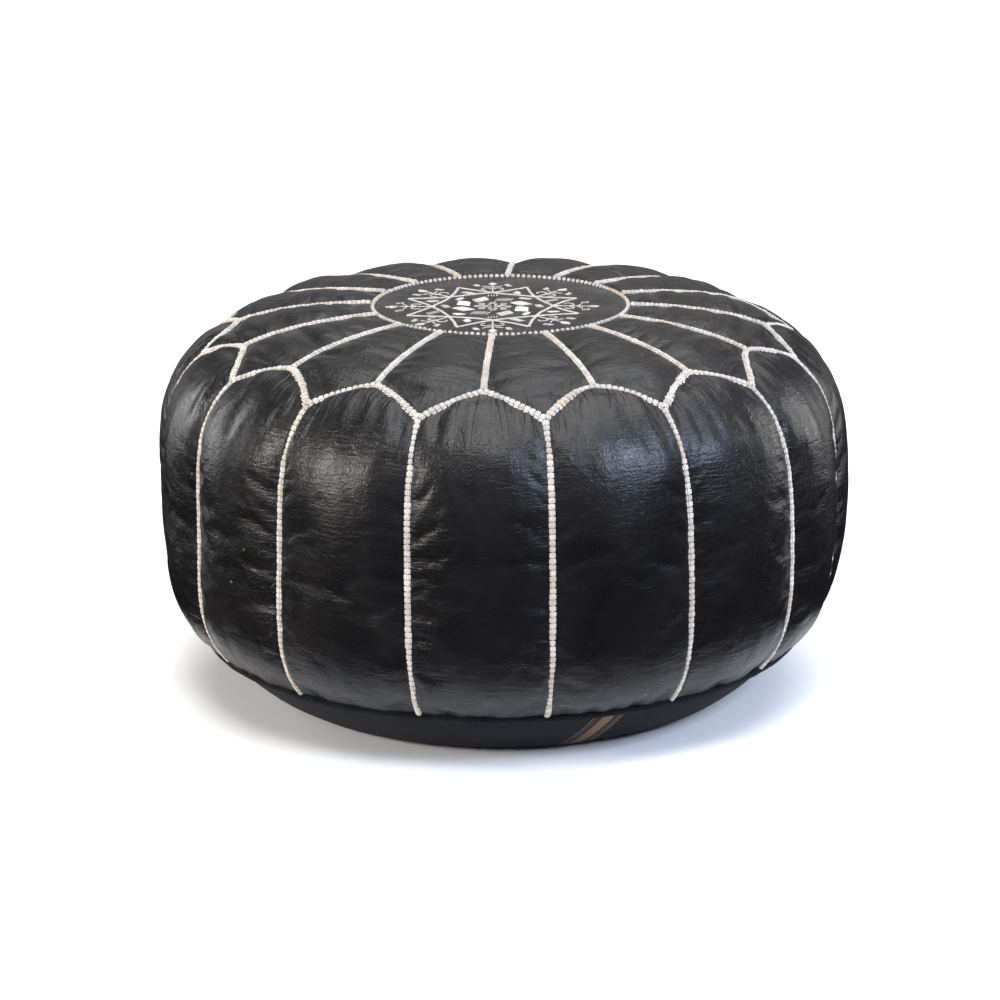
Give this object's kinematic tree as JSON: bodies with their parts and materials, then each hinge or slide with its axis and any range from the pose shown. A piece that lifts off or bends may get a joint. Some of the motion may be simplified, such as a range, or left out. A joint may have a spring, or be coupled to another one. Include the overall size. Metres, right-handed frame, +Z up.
{
  "type": "moroccan leather pouf",
  "caption": "Round Moroccan pouf in black goat leather with braided cream seams, an embroidered medallion top and a zipped cloth base.",
  "frame": {"origin": "centre of the round foot, on the surface that the pouf stands on", "axes": "+Z up through the medallion; X along the zip under the base; a petal seam lies 3.5 degrees from -Y, the front"},
  "size_m": [0.5386, 0.5386, 0.3017],
  "materials": {
    "goat_leather": "semi-gloss glazed goat leather, black, fine grain",
    "braid_thread": "matt cream thread, hand-worked in a bumpy braid",
    "piping_cloth": "matt black rolled cloth",
    "base_cloth": "matt dark navy-black woven cloth with a tan and off-white stripe",
    "cotton_filling": "loose cotton wadding",
    "zip_tape": "matt black woven tape",
    "zip_teeth": "satin black moulded teeth",
    "zip_metal": "worn nickel plate on zinc"
  },
  "bodies": {
    "cover": {"medallion": "goat_leather", "petal_01": "goat_leather", "petal_02": "goat_leather", "petal_03": "goat_leather", "petal_04": "goat_leather", "petal_05": "goat_leather", "petal_06": "goat_leather", "petal_07": "goat_leather", "petal_08": "goat_leather", "petal_09": "goat_leather", "petal_10": "goat_leather", "petal_11": "goat_leather", "petal_12": "goat_leather", "petal_13": "goat_leather", "petal_14": "goat_leather", "petal_15": "goat_leather", "petal_16": "goat_leather", "side_panel_01": "goat_leather", "side_panel_02": "goat_leather", "side_panel_03": "goat_leather", "side_panel_04": "goat_leather", "side_panel_05": "goat_leather", "side_panel_06": "goat_leather", "side_panel_07": "goat_leather", "side_panel_08": "goat_leather", "side_panel_09": "goat_leather", "side_panel_10": "goat_leather", "side_panel_11": "goat_leather", "side_panel_12": "goat_leather", "side_panel_13": "goat_leather", "side_panel_14": "goat_leather", "side_panel_15": "goat_leather", "side_panel_16": "goat_leather", "top_braid": "braid_thread", "side_braid": "braid_thread", "base_piping": "piping_cloth", "base_cloth_front": "base_cloth", "base_cloth_back": "base_cloth", "stuffing": "cotton_filling", "zip_tape_front": "zip_tape", "zip_tape_back": "zip_tape", "zip_teeth_front": "zip_teeth", "zip_teeth_back": "zip_teeth", "zip_top_stop_front": "zip_metal", "zip_top_stop_back": "zip_metal", "zip_bottom_stop": "zip_metal"},
    "zip_slider": {"zip_slider": "zip_metal"},
    "zip_pull": {"zip_pull": "zip_metal"}
  },
  "joints": [
    {"name": "zip_slide", "type": "slide", "parent": "cover", "child": "zip_slider", "axis": [-1, 0, 0], "range_m": [0, 0.2872]},
    {"name": "pull_swing", "type": "hinge", "parent": "zip_slider", "child": "zip_pull", "pos_m": [0.1436, 0, 0.00827], "axis": [0, -1, 0], "range_deg": [0, 180]}
  ]
}
